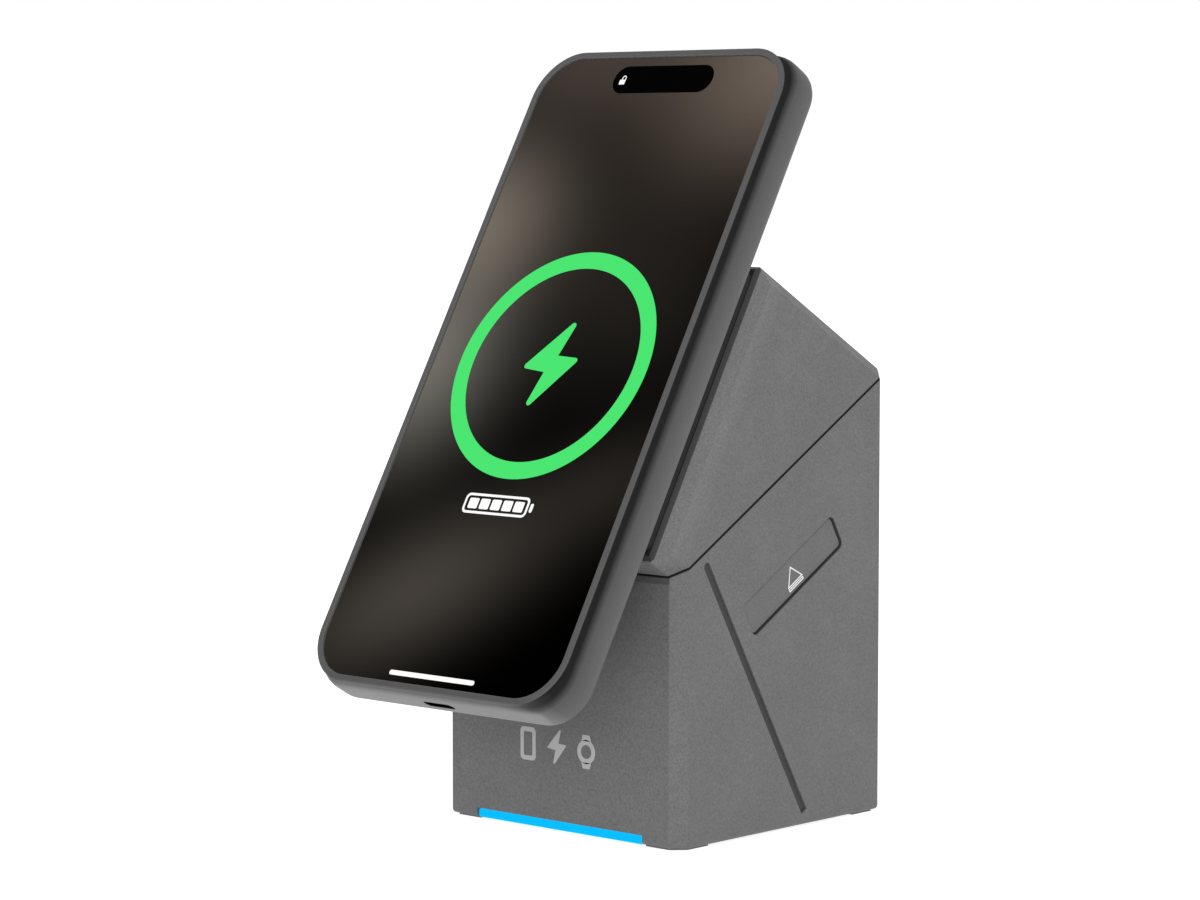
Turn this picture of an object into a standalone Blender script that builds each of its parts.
"""Desktop phone charging stand: a square tower cut by a slanted seam, whose head twists on the base.

The head leans a magnetic pad that holds a phone in its case. The base holds a watch charger in a
drawer that is pushed to open. The phone's screen faces -Y and the drawer comes out at +X.
Lengths are millimetres, and MM turns them into metres where a mesh or a place is set.
"""
import math

import bpy
import bmesh
from mathutils import Matrix, Vector

MM = 0.001
GAP = 0.3                 # between pieces that touch

# the closed tower and its seam
TOWER = 75.0              # width and depth
BASE_Y = 21.95            # the tower's axis, behind the middle of the whole object
SEAM_FRONT = 62.2         # height of the seam at the front face
SEAM_TILT = 30.0          # degrees, rising to the rear
SEAM_GAP = 0.4
TIP = 8.4                 # height of the thin end of the head
EDGE = 3.3                # chamfer of the tower's long edges
SMALL_EDGE = 1.2          # chamfer of the head's two cross edges
BOTTOM_Z = 0.45           # underside of the base, above the table
BOTTOM_ROUND = 1.0

# walls and floors
BASE_WALL = 3.0
HEAD_WALL = 2.6
DECK = 3.0                # the base's slanted top
PLATE = 2.2               # the base's bottom plate
HEAD_FLOOR = 2.6

# feet, light bar, groove
FOOT_NEAR, FOOT_FAR = 26.2, 36.2
FOOT_CORNER = 69.4        # x + y at the cut outer corner
FOOT_HEIGHT = 1.2
BAR_HALF = 25.8
BAR_TOP = 2.3
BAR_DEPTH = 2.2
GROOVE_WIDTH = 2.1
GROOVE_LENGTH = 70.6
GROOVE_DEPTH = 1.4
GROOVE_ALONG = -34.4      # from the twist axis, measured along the seam
GROOVE_TOP = -2.2         # below the seam

# twist joint
SHAFT_R = 8.0
SHAFT_BORE_R = 5.0
BUSH_CLEARANCE = 0.08
BUSH_R = 10.0
FLANGE_R = 12.0
NUT_R = 12.5
NUT_LOW, NUT_HIGH = -9.2, -6.4

# drawer, in the seam's frame with its middle at DRAWER_ALONG, DRAWER_UP
DRAWER_ALONG = -10.2
DRAWER_UP = -22.4
DRAWER_LENGTH = 36.8
DRAWER_HEIGHT = 8.0
DRAWER_RECESS = 0.6
FRONT_THICK = 2.0
TRAY_INNER_X = 4.2
ARM_INNER_X = -22.0
ARM_IN, ARM_OUT = 15.0, 18.0
TRAY_HALF = 16.2
PUCK_R = 13.8
PUCK_X = 19.6

# pad and phone, in the leaning face's frame: X right, Y up the face, Z out of it
PAD_WIDTH, PAD_LENGTH, PAD_THICK = 68.4, 72.0, 4.9
RING_IN, RING_OUT = 23.0, 27.0
CASE_BACK = PAD_THICK + 2 * GAP
CASE_THICK = 11.9
CASE_WIDTH, CASE_LENGTH = 78.6, 166.2
PHONE_UP = 1.9            # the phone's middle above the pad's middle
RIM_CORNER, SIDE_CORNER = 12.8, 10.0      # the case's corner radius at its rim and at its sides
CASE_WALL = 2.2
CASE_FLOOR = 2.5
RIM = 2.5                 # width of the case's front rim
CAMERA_X, CAMERA_Y = 17.5, 60.5
CAMERA_SIZE = 31.0
LENSES = ((-6.8, 6.8), (-6.8, -6.8), (6.8, 0.0))

X, Y, Z = Vector((1, 0, 0)), Vector((0, 1, 0)), Vector((0, 0, 1))


# ---------------------------------------------------------------- scene and materials

def clear_scene():
    for obj in list(bpy.data.objects):
        bpy.data.objects.remove(obj, do_unlink=True)


def material(name, colour, roughness, metallic=0.0):
    """A Principled material with one colour."""
    made = bpy.data.materials.new(name)
    made.use_nodes = True
    shader = made.node_tree.nodes["Principled BSDF"]
    shader.inputs["Base Color"].default_value = (*colour, 1.0)
    shader.inputs["Roughness"].default_value = roughness
    shader.inputs["Metallic"].default_value = metallic
    return made


def make_materials():
    looks = {
        "shell": ((0.165, 0.165, 0.165), 0.6, 0.0),
        "soft_black": ((0.035, 0.035, 0.035), 0.75, 0.0),
        "light": ((0.01, 0.5, 0.95), 0.3, 0.0),
        "case": ((0.12, 0.12, 0.12), 0.55, 0.0),
        "steel": ((0.55, 0.55, 0.56), 0.35, 1.0),
        "aluminium": ((0.6, 0.6, 0.61), 0.4, 1.0),
        "copper": ((0.6, 0.3, 0.15), 0.35, 1.0),
        "board": ((0.02, 0.14, 0.06), 0.5, 0.0),
        "ferrite": ((0.06, 0.055, 0.05), 0.8, 0.0),
        "plastic": ((0.06, 0.06, 0.065), 0.5, 0.0),
        "white": ((0.75, 0.75, 0.74), 0.35, 0.0),
        "glass": ((0.01, 0.01, 0.012), 0.05, 0.0),
    }
    return {name: material(name, *look) for name, look in looks.items()}


def empty(name, parent=None, at=(0, 0, 0), tilt=0.0):
    """A frame to build in: at its place in the parent's millimetres, tilted about X by degrees."""
    made = bpy.data.objects.new(name, None)
    bpy.context.scene.collection.objects.link(made)
    made.parent = parent
    made.location = Vector(at) * MM
    made.rotation_euler = (math.radians(tilt), 0, 0)
    return made


def add(name, bm, parent, look, smooth=True):
    """Turns a bmesh in millimetres into a named object in metres."""
    bmesh.ops.scale(bm, vec=(MM, MM, MM), verts=bm.verts)
    bmesh.ops.recalc_face_normals(bm, faces=bm.faces)
    mesh = bpy.data.meshes.new(name)
    bm.to_mesh(mesh)
    bm.free()
    if smooth:
        mesh.shade_smooth()
        mesh.set_sharp_from_angle(angle=math.radians(35))
    mesh.materials.append(look)
    obj = bpy.data.objects.new(name, mesh)
    bpy.context.scene.collection.objects.link(obj)
    obj.parent = parent
    return obj


def boolean(target, bm, parent, operation="DIFFERENCE"):
    """Cuts a bmesh away from the target, or joins it on, with a hidden cutter."""
    cutter = add(target.name + "_cutter", bm, parent, target.data.materials[0], smooth=False)
    cutter.hide_render = True
    cutter.display_type = "WIRE"
    step = target.modifiers.new(operation.title(), "BOOLEAN")
    step.operation = operation
    step.solver = "EXACT"
    step.object = cutter


# ---------------------------------------------------------------- shapes, in millimetres

def convex(planes, reach=200.0):
    """The solid inside a list of half-spaces, each (outward normal, distance from the origin)."""
    bm = bmesh.new()
    bmesh.ops.create_cube(bm, size=2 * reach)
    for normal, distance in planes:
        unit = Vector(normal).normalized()
        cut = bmesh.ops.bisect_plane(
            bm, geom=bm.verts[:] + bm.edges[:] + bm.faces[:], dist=1e-5,
            plane_co=unit * distance, plane_no=unit, clear_outer=True)
        edges = [e for e in cut["geom_cut"] if isinstance(e, bmesh.types.BMEdge)]
        if edges:
            bmesh.ops.contextual_create(bm, geom=edges)
    return bm


def grown(planes, by):
    """The half-spaces moved outward by a distance."""
    return [(normal, distance + by) for normal, distance in planes]


def loft(loops):
    """A closed solid through loops of equal length, capped at the first and the last."""
    bm = bmesh.new()
    rings = [[bm.verts.new(p) for p in loop] for loop in loops]
    count = len(rings[0])
    for low, high in zip(rings, rings[1:]):
        for i in range(count):
            j = (i + 1) % count
            bm.faces.new((low[i], low[j], high[j], high[i]))
    bm.faces.new(list(reversed(rings[0])))
    bm.faces.new(rings[-1])
    return bm


def rounded(width, length, radius, z, at=(0, 0), steps=6):
    """A rectangle with round corners at one height."""
    points = []
    for quarter, (sx, sy) in enumerate(((1, 1), (-1, 1), (-1, -1), (1, -1))):
        cx = at[0] + sx * (width / 2 - radius)
        cy = at[1] + sy * (length / 2 - radius)
        for step in range(steps + 1):
            angle = math.pi / 2 * (quarter + step / steps)
            points.append((cx + radius * math.cos(angle), cy + radius * math.sin(angle), z))
    return points


def block(width, length, radius, low, high, at=(0, 0), steps=6):
    """A plate with round corners."""
    return loft([rounded(width, length, radius, z, at, steps) for z in (low, high)])


def circle(radius, z, at=(0, 0), count=32):
    turn = 2 * math.pi / count
    return [(at[0] + radius * math.cos(i * turn), at[1] + radius * math.sin(i * turn), z)
            for i in range(count)]


def turned(profile, at=(0, 0), count=32):
    """A solid of revolution about Z from a profile of (radius, height) that starts and ends on the axis."""
    return loft([circle(r, z, at, count) for r, z in profile])


def ring(inner, outer, low, high, count=32):
    """A washer shape, closed all round."""
    bm = bmesh.new()
    corners = ((inner, low), (outer, low), (outer, high), (inner, high))
    rings = [[bm.verts.new(p) for p in circle(r, z, count=count)] for r, z in corners]
    for k in range(4):
        a, b = rings[k], rings[(k + 1) % 4]
        for i in range(count):
            j = (i + 1) % count
            bm.faces.new((a[i], a[j], b[j], b[i]))
    return bm


def bar(low, high):
    """A plain box between two corners, for hidden ribs and cutters."""
    (x0, y0, z0), (x1, y1, z1) = low, high
    return loft([[(x0, y0, z), (x1, y0, z), (x1, y1, z), (x0, y1, z)] for z in (z0, z1)])


def moved(bm, matrix):
    bmesh.ops.transform(bm, matrix=matrix, verts=bm.verts)
    return bm


def facing_x(bm, x=0.0):
    """Stands a solid made along Z so that its Z points along +X."""
    return moved(bm, Matrix.Translation((x, 0, 0)) @ Matrix.Rotation(math.pi / 2, 4, "Y"))


# ---------------------------------------------------------------- the tower's outlines

HALF = TOWER / 2
TILT = math.radians(SEAM_TILT)
SEAM_MIDDLE = SEAM_FRONT + HALF * math.tan(TILT)
SEAM_NORMAL = Vector((0, -math.sin(TILT), math.cos(TILT)))

# the head in the seam's frame: Y runs up the seam to the rear, Z is the seam's normal
UP_FACE = Vector((0, math.cos(TILT), math.sin(TILT)))
OUT_FACE = Vector((0, -math.sin(TILT), math.cos(TILT)))
TIP_POINT = Vector((0, -HALF / math.cos(TILT), 0))
LOW_POINT = TIP_POINT + OUT_FACE * TIP
APEX = LOW_POINT + UP_FACE * TOWER
FACE_MIDDLE = (LOW_POINT + APEX) / 2


def mirrored_chamfers(normal, distance, width):
    """The two chamfers between the side faces and another face."""
    return [((side * X + normal), (HALF + distance - width) / math.sqrt(2)) for side in (1, -1)]


def base_planes():
    """Outer walls, chamfers, then the underside and the seam."""
    planes = [(X, HALF), (-X, HALF), (Y, HALF), (-Y, HALF)]
    for normal in (Y, -Y):
        planes += mirrored_chamfers(normal, HALF, EDGE)
    planes.append((-Z, -BOTTOM_Z))
    planes.append((SEAM_NORMAL, SEAM_NORMAL.z * SEAM_MIDDLE - SEAM_GAP / 2))
    return planes


def head_planes():
    """Outer walls and chamfers, then the seam."""
    face, slope, strip = OUT_FACE.dot(LOW_POINT), UP_FACE.dot(APEX), -UP_FACE.dot(LOW_POINT)
    planes = [(X, HALF), (-X, HALF), (OUT_FACE, face), (UP_FACE, slope), (-UP_FACE, strip)]
    for normal, distance in ((OUT_FACE, face), (UP_FACE, slope), (-UP_FACE, strip)):
        planes += mirrored_chamfers(normal, distance, EDGE)
    for normal, distance in ((UP_FACE, slope), (-UP_FACE, strip)):
        planes.append((OUT_FACE + normal, (face + distance - SMALL_EDGE) / math.sqrt(2)))
    planes.append((-Z, -SEAM_GAP / 2))
    return planes


# ---------------------------------------------------------------- base

SCREWS = [(sx * 21.0, sy * 30.0) for sx in (-1, 1) for sy in (-1, 1)]
FEET = {"foot_front_left": (-1, -1), "foot_front_right": (1, -1),
        "foot_rear_left": (-1, 1), "foot_rear_right": (1, 1)}
SCREW_HEAD_R, SHANK_R, PILOT_R = 2.0, 0.9, 1.2
BASE_SCREW_HIGH = 13.0
BOSS_WIDTH = 6.4
BOSS_NEAR, BOSS_FAR = 26.8, 35.4      # from the tower's axis, so that a boss joins the wall
BOSS_LOW, BOSS_HIGH = 3.4, 18.0
SOCKET_Z = 15.2
SOCKET_WIDTH, SOCKET_HEIGHT, SOCKET_DEPTH = 9.0, 3.3, 8.3
SOCKET_SKIN, SOCKET_FLOOR = 0.35, 1.0
BALLAST = (60.0, 50.0, 3.3, 11.3)     # width, length, underside, top
BOARD_THICK = 1.6


def foot_solid(sign_x, sign_y, grow, low, high):
    """A square pad under one corner, cut off along the tower's chamfer."""
    planes = [(Z, high), (-Z, -low)]
    for out in (sign_x * X, sign_y * Y):
        planes += [(out, FOOT_FAR + grow), (-out, grow - FOOT_NEAR)]
    planes.append((sign_x * X + sign_y * Y, FOOT_CORNER / math.sqrt(2) + grow))
    return convex(planes)


def make_base_shell(stand, seam, looks):
    planes = base_planes()
    bm = convex(planes)
    low_edges = [e for e in bm.edges if all(abs(v.co.z - BOTTOM_Z) < 1e-3 for v in e.verts)]
    bmesh.ops.bevel(bm, geom=low_edges, offset=BOTTOM_ROUND, segments=3, profile=0.5, affect="EDGES")
    shell = add("base_shell", bm, stand, looks["shell"])

    walls = grown(planes[:8], -BASE_WALL)
    under_deck = (SEAM_NORMAL, SEAM_NORMAL.z * SEAM_MIDDLE - SEAM_GAP / 2 - DECK)
    boolean(shell, convex(walls + [(-Z, 5.0), under_deck]), stand)
    for x, y in SCREWS:
        near, far = sorted(math.copysign(distance, y) for distance in (BOSS_NEAR, BOSS_FAR))
        boss = bar((x - BOSS_WIDTH / 2, near, BOSS_LOW), (x + BOSS_WIDTH / 2, far, BOSS_HIGH))
        boolean(shell, boss, stand, "UNION")
        boolean(shell, turned(((PILOT_R, 2.0), (PILOT_R, BASE_SCREW_HIGH + 2)), (x, y), 16), stand)
    boolean(shell, turned(((BUSH_R + GAP, -6.0), (BUSH_R + GAP, 2.0))), seam)

    # the light bar's notch, the socket's opening, the feet's recesses
    notch = bar((-BAR_HALF - GAP, -HALF - 2, 0), (BAR_HALF + GAP, -HALF + 3.2, BAR_TOP + GAP))
    boolean(shell, notch, stand)
    mouth = block(SOCKET_WIDTH + 0.6, SOCKET_HEIGHT + 0.6, 1.9, 0, 8)
    turn = Matrix.Translation((0, HALF + 2, SOCKET_Z)) @ Matrix.Rotation(math.pi / 2, 4, "X")
    boolean(shell, moved(mouth, turn), stand)
    for signs in FEET.values():
        boolean(shell, foot_solid(*signs, GAP, -1, FOOT_HEIGHT + GAP), stand)

    # the drawer's opening and the two grooves beside it
    opening = block(DRAWER_HEIGHT + 2 * GAP, DRAWER_LENGTH + 2 * GAP, 1.5, HALF - 6, HALF + 3)
    place = Matrix.Translation((0, DRAWER_ALONG, DRAWER_UP))
    boolean(shell, moved(facing_x(opening), place), seam)
    for side in (1, -1):
        groove = groove_solid()
        shift = Matrix.Translation((side * HALF, GROOVE_ALONG, GROOVE_TOP))
        boolean(shell, moved(groove, shift), seam)
    return shell


def groove_solid():
    """A slot that runs straight down from the seam, with a round upper end."""
    half = GROOVE_WIDTH / 2
    outline = [(half * math.cos(math.pi * i / 8), half * math.sin(math.pi * i / 8) - half)
               for i in range(9)]
    outline += [(-half, -GROOVE_LENGTH), (half, -GROOVE_LENGTH)]
    return loft([[(x, y, z) for y, z in outline] for x in (-GROOVE_DEPTH, GROOVE_DEPTH)])


def make_bottom(stand, looks):
    walls = grown(base_planes()[:8], -BASE_WALL - GAP)
    plate = add("bottom_plate", convex(walls + [(-Z, -BOTTOM_Z), (Z, BOTTOM_Z + PLATE)]), stand,
                looks["plastic"])
    boolean(plate, bar((-BAR_HALF - 1, -40, 0), (BAR_HALF + 1, -32.6, 5)), stand)
    for signs in FEET.values():
        boolean(plate, foot_solid(*signs, GAP, -1, FOOT_HEIGHT + GAP), stand)
    for x, y in SCREWS:
        boolean(plate, turned(((PILOT_R, 0), (PILOT_R, 5)), (x, y), 16), stand)
        boolean(plate, turned(((SCREW_HEAD_R + GAP, 0), (SCREW_HEAD_R + GAP, 2.1)), (x, y), 24), stand)
    for name, signs in FEET.items():
        add(name, foot_solid(*signs, 0.0, 0.0, FOOT_HEIGHT), stand, looks["shell"])


def screw(name, parent, at, head_low, head_high, tip, look):
    """A pan-head screw with a round socket in its head."""
    profile = ((0.9, head_low + 0.7), (0.9, head_low), (SCREW_HEAD_R - 0.3, head_low),
               (SCREW_HEAD_R, head_low + 0.3), (SCREW_HEAD_R, head_high), (SHANK_R, head_high),
               (SHANK_R, tip - 0.8), (0.3, tip))
    return add(name, turned(profile, at, 16), parent, look)


def make_base_inside(stand, seam, looks):
    for number, at in enumerate(SCREWS, 1):
        screw(f"base_screw_{number}", stand, at, BOTTOM_Z + 0.1, BOTTOM_Z + 1.1, BASE_SCREW_HIGH,
              looks["steel"])
    add("light_bar", loft([rounded(2 * BAR_HALF, 2 * d, 0.3, z, (0, -HALF + 0.3 + BAR_DEPTH / 2), 2)
                           for z, d in ((BOTTOM_Z, BAR_DEPTH / 2 - 0.2), (BOTTOM_Z + 0.3, BAR_DEPTH / 2),
                                        (BAR_TOP, BAR_DEPTH / 2))]), stand, looks["light"])
    add("light_board", bar((-25, -34.2, 1.0), (25, -33.1, 3.0)), stand, looks["board"])
    width, length, low, high = BALLAST
    add("ballast_plate", block(width, length, 4, low, high), stand, looks["steel"])
    board_low = high + GAP
    add("main_board", block(31, 56, 1.5, board_low, board_low + BOARD_THICK, (0, 5.8)), stand,
        looks["board"])
    make_socket(stand, looks)

    deck_low = -SEAM_GAP / 2 - DECK - GAP
    flange_low = deck_low - 1.5
    bush = add("twist_bush", ring(SHAFT_R + BUSH_CLEARANCE, BUSH_R, flange_low, -0.6), seam,
               looks["white"])
    boolean(bush, ring(BUSH_R - 1.0, FLANGE_R, flange_low, deck_low), seam, "UNION")
    washer_high = flange_low - GAP
    add("friction_washer", ring(SHAFT_R + GAP, FLANGE_R, washer_high - 0.8, washer_high), seam,
        looks["steel"])


def make_socket(stand, looks):
    """A round-ended metal cup that opens at the rear."""
    outer = (SOCKET_WIDTH, SOCKET_HEIGHT, SOCKET_HEIGHT / 2 - 0.05)
    inner = [size - 2 * SOCKET_SKIN for size in outer[:2]] + [outer[2] - SOCKET_SKIN]
    levels = ((0, outer), (SOCKET_DEPTH, outer), (SOCKET_DEPTH, inner), (SOCKET_FLOOR, inner))
    cup = loft([rounded(width, height, corner, z) for z, (width, height, corner) in levels])
    bottom = Matrix.Translation((0, HALF - GAP - SOCKET_DEPTH, SOCKET_Z))
    add("usb_c_socket", moved(cup, bottom @ Matrix.Rotation(-math.pi / 2, 4, "X")), stand, looks["steel"])


def make_drawer_guides(seam, looks):
    """Two channels that the tray's arms run in, and the push latch behind the tray."""
    for name, side in (("drawer_rail_lower", -1), ("drawer_rail_upper", 1)):
        near, far = sorted(DRAWER_ALONG + side * y for y in (TRAY_HALF + GAP, ARM_OUT + 2.6))
        rail = add(name, bar((-25, near, DRAWER_UP - 3.8), (29, far, DRAWER_UP + 2.6)), seam,
                   looks["white"])
        near, far = sorted(DRAWER_ALONG + side * y for y in (TRAY_HALF - 1, ARM_OUT + GAP))
        boolean(rail, bar((-30, near, DRAWER_UP - 2.2), (35, far, DRAWER_UP + 1.0)), seam)
    low, high = DRAWER_ALONG - 6.5, DRAWER_ALONG + 1.5
    latch = add("push_latch", bar((-20, low, DRAWER_UP - 2.4), (-4.3, high, DRAWER_UP + 2.4)), seam,
                looks["plastic"])
    slot = bar((-18, low + 2.0, DRAWER_UP - 1.3), (0, high - 2.0, DRAWER_UP + 1.3))
    boolean(latch, slot, seam)
    spring = spring_curve("latch_spring", -17.4, -9.2, 1.0, 7)
    spring.parent = seam
    spring.location = Vector((0, (low + high) / 2, DRAWER_UP)) * MM
    spring.data.materials.append(looks["steel"])


def spring_curve(name, start, end, radius, turns, steps=10):
    """A coil along X."""
    points = []
    for i in range(turns * steps + 1):
        angle = 2 * math.pi * i / steps
        along = start + (end - start) * i / (turns * steps)
        points.append((along, radius * math.cos(angle), radius * math.sin(angle)))
    return tube(name, points, 0.22, 1)


def tube(name, points, radius, resolution):
    """A round wire along points in millimetres."""
    curve = bpy.data.curves.new(name, "CURVE")
    curve.dimensions = "3D"
    curve.bevel_depth = radius * MM
    curve.bevel_resolution = resolution
    curve.use_fill_caps = True
    spline = curve.splines.new("POLY")
    spline.points.add(len(points) - 1)
    for knot, point in zip(spline.points, points):
        knot.co = (*(Vector(point) * MM), 1.0)
    obj = bpy.data.objects.new(name, curve)
    bpy.context.scene.collection.objects.link(obj)
    return obj


def smooth_route(knots, spacing):
    """Points along a Catmull-Rom curve through the knots."""
    padded = [2 * knots[0] - knots[1]] + knots + [2 * knots[-1] - knots[-2]]
    points = []
    for a, b, c, d in zip(padded, padded[1:], padded[2:], padded[3:]):
        steps = max(1, round((c - b).length / spacing))
        for i in range(steps):
            t = i / steps
            points.append(0.5 * (2 * b + (c - a) * t + (2 * a - 5 * b + 4 * c - d) * t * t
                                 + (3 * b - a - 3 * c + d) * t ** 3))
    return points + [knots[-1]]


def make_twist_cable(stand, looks):
    """From the head's board down through the hollow shaft, then aside and down to the main board."""
    middle = Vector((0, 0, SEAM_MIDDLE))
    knots = [middle + SEAM_NORMAL * up for up in (8.9, 2.0, -5.0, -10.5)]
    knots += [Vector(p) for p in ((-2.5, 8.6, 66.0), (-6.5, 10.5, 55.0), (-9.0, 9.5, 42.0),
                                  (-10.0, 6.0, 29.0), (-10.0, 4.0, 20.0), (-10.0, 4.0, 13.5))]
    cable = tube("twist_cable", smooth_route(knots, 4.0), 1.4, 2)
    cable.parent = stand
    cable.data.materials.append(looks["soft_black"])


# ---------------------------------------------------------------- drawer

def make_drawer(drawer, looks):
    """In the drawer's frame: X out of the tower, Y along the seam, Z the seam's normal."""
    front_x = HALF - DRAWER_RECESS
    front = [rounded(DRAWER_HEIGHT - 2 * i, DRAWER_LENGTH - 2 * i, 1.2 - i, z) for z, i in
             ((front_x - FRONT_THICK, 0), (front_x - 0.2, 0), (front_x, 0.2))]
    add("drawer_front", facing_x(loft(front)), drawer, looks["shell"])

    back = front_x - FRONT_THICK - GAP
    tray = add("drawer_tray", bar((TRAY_INNER_X, -TRAY_HALF, -3.4), (back, TRAY_HALF, 3.2)), drawer,
               looks["plastic"])
    boolean(tray, turned(((PUCK_R + GAP, -2.2), (PUCK_R + GAP, 6)), (PUCK_X, 0)), drawer)
    for side in (-1, 1):
        near, far = sorted((side * ARM_IN, side * ARM_OUT))
        boolean(tray, bar((ARM_INNER_X, near, -1.9), (back - 6, far, 0.7)), drawer, "UNION")
    add("latch_striker", bar((-8.6, -3.4, -1.0), (TRAY_INNER_X - GAP, -1.6, 1.0)), drawer,
        looks["white"])

    at = (PUCK_X, 0)
    r = PUCK_R
    cup = ((r - 0.3, -1.9), (r, -1.6), (r, 3.0), (r - 1.2, 3.0), (r - 1.2, -0.6))
    add("watch_puck", turned(cup, at), drawer, looks["white"])
    cap = ((r - 1.5, 2.2), (r - 1.5, 3.3), (r - 2.2, 3.5), (r - 5, 3.0), (3.0, 2.7))
    add("puck_cap", turned(cap, at), drawer, looks["white"])
    coil = moved(ring(5.5, 11.5, 0.6, 1.8), Matrix.Translation((PUCK_X, 0, 0)))
    add("watch_coil", coil, drawer, looks["copper"])
    add("puck_magnet", turned(((4.5, -0.3), (4.5, 1.8)), at, 32), drawer, looks["steel"])


# ---------------------------------------------------------------- head

HEAD_SCREWS = [(sx * 27.5, y) for sx in (-1, 1) for y in (-25.0, 29.0)]
POSTS = [(sx * 17.0, sy * 12.0) for sx in (-1, 1) for sy in (-1, 1)]
BOARD_LOW = 9.2


def make_head(head, looks):
    """In the seam's frame."""
    planes = head_planes()
    shell = add("head_shell", convex(planes), head, looks["shell"])
    boolean(shell, convex(grown(planes[:-1], -HEAD_WALL) + [(-Z, 5.0)]), head)
    floor_top = SEAM_GAP / 2 + HEAD_FLOOR
    for x, y in HEAD_SCREWS:
        top = 18.2 if y < 0 else 17.0
        boolean(shell, turned(((3.0, floor_top + GAP), (3.0, top)), (x, y), 24), head, "UNION")
        boolean(shell, turned(((PILOT_R, floor_top), (PILOT_R, 13.0)), (x, y), 16), head)
    tunnel = turned(((6.0, -12), (6.0, 12)), count=32)
    face = Matrix.Translation(FACE_MIDDLE) @ Matrix.Rotation(TILT, 4, "X")
    boolean(shell, moved(tunnel, face), head)

    inside = grown(planes[:-1], -HEAD_WALL - GAP)
    floor = add("head_floor", convex(inside + [(-Z, -SEAM_GAP / 2), (Z, floor_top)]), head,
                looks["plastic"])
    boolean(floor, turned(((SHAFT_R + GAP, -2), (SHAFT_R + GAP, 6))), head)
    for x, y in HEAD_SCREWS:
        boolean(floor, turned(((PILOT_R, -2), (PILOT_R, 6)), (x, y), 16), head)
        boolean(floor, turned(((SCREW_HEAD_R + GAP, -2), (SCREW_HEAD_R + GAP, 1.7)), (x, y), 24), head)
    for at in POSTS:
        boolean(floor, turned(((2.0, 1.5), (2.0, BOARD_LOW)), at, 20), head, "UNION")
    for number, at in enumerate(HEAD_SCREWS, 1):
        screw(f"head_screw_{number}", head, at, 0.4, 1.4, 11.5, looks["steel"])

    flange_low = floor_top + GAP
    shaft = add("twist_shaft", ring(SHAFT_BORE_R, SHAFT_R, NUT_LOW - 0.2, flange_low + 1.0), head,
                looks["steel"])
    boolean(shaft, ring(SHAFT_BORE_R, FLANGE_R, flange_low, flange_low + 2.0), head, "UNION")
    add("shaft_nut", hex_nut(), head, looks["steel"])
    add("head_board", block(42, 32, 2, BOARD_LOW + GAP, BOARD_LOW + GAP + 1.4), head, looks["board"])


def hex_nut():
    """A six-sided nut with a round bore."""
    count = 48
    outer = []
    for i in range(count):
        angle = 2 * math.pi * i / count
        inside = (angle % (math.pi / 3)) - math.pi / 6
        radius = NUT_R * math.cos(math.pi / 6) / math.cos(inside)
        outer.append((radius * math.cos(angle), radius * math.sin(angle)))
    bm = bmesh.new()
    bore = circle(SHAFT_R + GAP, 0, count=count)
    rings = []
    for outline, z in ((bore, NUT_LOW), (outer, NUT_LOW), (outer, NUT_HIGH), (bore, NUT_HIGH)):
        rings.append([bm.verts.new((p[0], p[1], z)) for p in outline])
    for k in range(4):
        a, b = rings[k], rings[(k + 1) % 4]
        for i in range(count):
            j = (i + 1) % count
            bm.faces.new((a[i], a[j], b[j], b[i]))
    return bm


def make_pad(face, looks):
    """In the leaning face's frame."""
    top = PAD_THICK + GAP
    sides = [(GAP, 0.0), (top - 0.6, 0.0), (top - 0.15, 0.25), (top, 0.7)]
    pad = add("pad_plate", loft([rounded(PAD_WIDTH - 2 * i, PAD_LENGTH - 2 * i, 3.0 - i, z)
                                 for z, i in sides]), face, looks["soft_black"])
    pocket = turned(((RING_OUT + GAP, 0), (RING_OUT + GAP, top - 1.1)), count=64)
    boolean(pad, pocket, face)
    add("magnet_ring", ring(RING_IN, RING_OUT, top - 3.6, top - 1.4, 64), face, looks["steel"])
    add("charging_coil", ring(9.0, RING_IN - 0.8, top - 2.6, top - 1.4), face, looks["copper"])
    add("ferrite_shield", turned(((RING_IN - 0.6, top - 3.9), (RING_IN - 0.6, top - 2.9))), face,
        looks["ferrite"])


# ---------------------------------------------------------------- phone

def phone_loop(width, length, radius, z):
    return rounded(width, length, radius, z, (0, PHONE_UP), 8)


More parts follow.
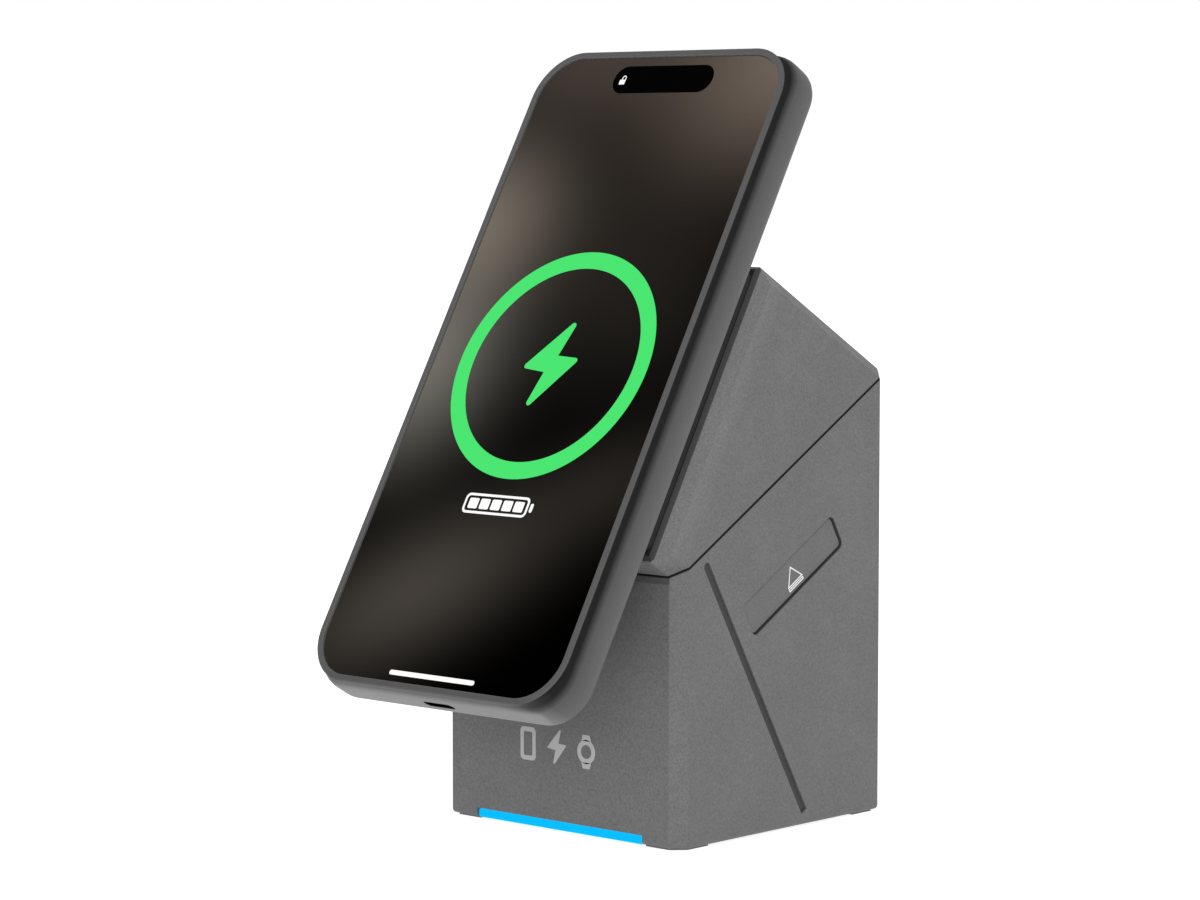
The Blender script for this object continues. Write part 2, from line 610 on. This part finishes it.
def make_case(pull, turn, looks):
    """The case is a tray: from the middle of its floor, out over its rim and round to its back."""
    back, front = CASE_BACK, CASE_BACK + CASE_THICK
    floor = back + CASE_FLOOR
    wall = CASE_WALL

    def loop(inset, z, corner):
        return phone_loop(CASE_WIDTH - 2 * inset, CASE_LENGTH - 2 * inset, corner - inset, z)

    rim = [(wall, floor), (wall, front - 0.9), (RIM, front - 0.8), (RIM, front - 0.1), (RIM - 0.1, front)]
    rim += [(0.6, front), (0.25, front - 0.4), (0.3, front - 1.1)]
    sides = [(0.5, front - 3.2), (0.0, front - 4.6), (0.0, back + 2.6), (0.4, back + 1.1)]
    sides += [(1.2, back + 0.3), (2.4, back)]
    loops = [loop(inset, z, RIM_CORNER) for inset, z in rim]
    loops.append(loop(0.9, front - 2.0, (RIM_CORNER + SIDE_CORNER) / 2))
    loops += [loop(inset, z, SIDE_CORNER) for inset, z in sides]
    case = add("phone_case", loft(loops), turn, looks["case"])
    boolean(case, ring(RING_IN - GAP, RING_OUT + GAP, floor - 1.9, floor + 1), turn)
    window = block(CAMERA_SIZE + 2, CAMERA_SIZE + 2, 8.0, back - 1, floor + 1, (CAMERA_X, CAMERA_Y))
    boolean(case, window, turn)
    port = moved(block(8.4, 3.0, 1.4, -8, 8), port_place(back))
    boolean(case, port, turn)
    ring_solid = ring(RING_IN, RING_OUT, floor - 1.6, floor - 0.2, 64)
    add("case_magnet_ring", ring_solid, pull, looks["steel"])


def port_place(back):
    """The charging port's axis, out of the phone's lower end."""
    end = PHONE_UP - CASE_LENGTH / 2
    return Matrix.Translation((0, end, back + 5.1)) @ Matrix.Rotation(math.pi / 2, 4, "X")


def make_phone(turn, looks):
    width = CASE_WIDTH - 2 * CASE_WALL - 2 * GAP
    length = CASE_LENGTH - 2 * CASE_WALL - 2 * GAP
    corner = RIM_CORNER - CASE_WALL - GAP
    back = CASE_BACK + CASE_FLOOR + GAP
    front = CASE_BACK + CASE_THICK - 0.9 - GAP

    def plate(name, inset, low, high, look):
        loops = [phone_loop(width - 2 * inset, length - 2 * inset, corner - inset, z) for z in (low, high)]
        return add(name, loft(loops), turn, looks[look])

    plate("phone_back_glass", 0.4, back, back + 0.6, "glass")
    frame_low, frame_high = back + 0.9, front - 1.2
    side = [(2.0, frame_low + 1.7), (2.0, frame_low), (0.3, frame_low), (0.0, frame_low + 0.4),
            (0.0, frame_high - 0.4), (0.3, frame_high), (2.0, frame_high), (2.0, frame_low + 2.5)]
    loops = [phone_loop(width - 2 * i, length - 2 * i, corner - i, z) for i, z in side]
    frame = add("phone_frame", loft(loops), turn, looks["aluminium"])
    boolean(frame, moved(block(7.8, 2.0, 0.95, -6, 8), port_place(CASE_BACK)), turn)
    glass = [(front - 0.9, 0.3), (front - 0.4, 0.0), (front, 0.4), (front + 0.65, 0.4)]
    add("display_glass", loft([phone_loop(width - 2 * i, length - 2 * i, corner - i, z) for z, i in glass]),
        turn, looks["glass"])
    plate("display_panel", 2.4, frame_high - 1.3, frame_high - 0.1, "plastic")

    coil = ring(9.0, RING_OUT - 1, frame_low + 0.3, frame_low + 1.3)
    add("receive_coil", coil, turn, looks["copper"])
    inside = frame_low + 2.8
    add("phone_battery", block(44, 96, 3, inside, inside + 1.6, (-8, PHONE_UP - 18)), turn, looks["steel"])
    add("phone_board", block(60, 30, 3, inside, inside + 1.0, (0, PHONE_UP + 55)), turn, looks["board"])
    make_camera(turn, back, looks)


def make_camera(turn, back, looks):
    """The camera island sits in the case's window, behind the back glass."""
    low = CASE_BACK + 0.5
    bump = add("camera_bump", block(CAMERA_SIZE, CAMERA_SIZE, 7.2, low, back - GAP, (CAMERA_X, CAMERA_Y)),
               turn, looks["glass"])
    for number, (dx, dy) in enumerate(LENSES, 1):
        at = (CAMERA_X + dx, CAMERA_Y + dy)
        boolean(bump, turned(((5.6, low - 1), (5.6, low + 1.4)), at, 32), turn)
        lens = ((4.6, low + 0.5), (4.9, low + 0.2), (5.3, low + 0.2), (5.3, low + 1.1))
        add(f"camera_lens_{number}", turned(lens, at, 32), turn, looks["glass"])


# ---------------------------------------------------------------- assembly

def build():
    clear_scene()
    looks = make_materials()
    stand = empty("stand_frame", at=(0, BASE_Y, 0))
    seam = empty("seam_frame", stand, (0, 0, SEAM_MIDDLE), SEAM_TILT)
    head = empty("head_twist_axis", seam)
    face = empty("face_frame", head, FACE_MIDDLE, SEAM_TILT)
    pull = empty("phone_pull_axis", face)
    turn = empty("phone_turn_axis", pull)
    drawer = empty("drawer_slide_axis", seam, (0, DRAWER_ALONG, DRAWER_UP))

    make_base_shell(stand, seam, looks)
    make_bottom(stand, looks)
    make_base_inside(stand, seam, looks)
    make_drawer_guides(seam, looks)
    make_twist_cable(stand, looks)
    make_drawer(drawer, looks)
    make_head(head, looks)
    make_pad(face, looks)
    make_case(pull, turn, looks)
    make_phone(turn, looks)


build()
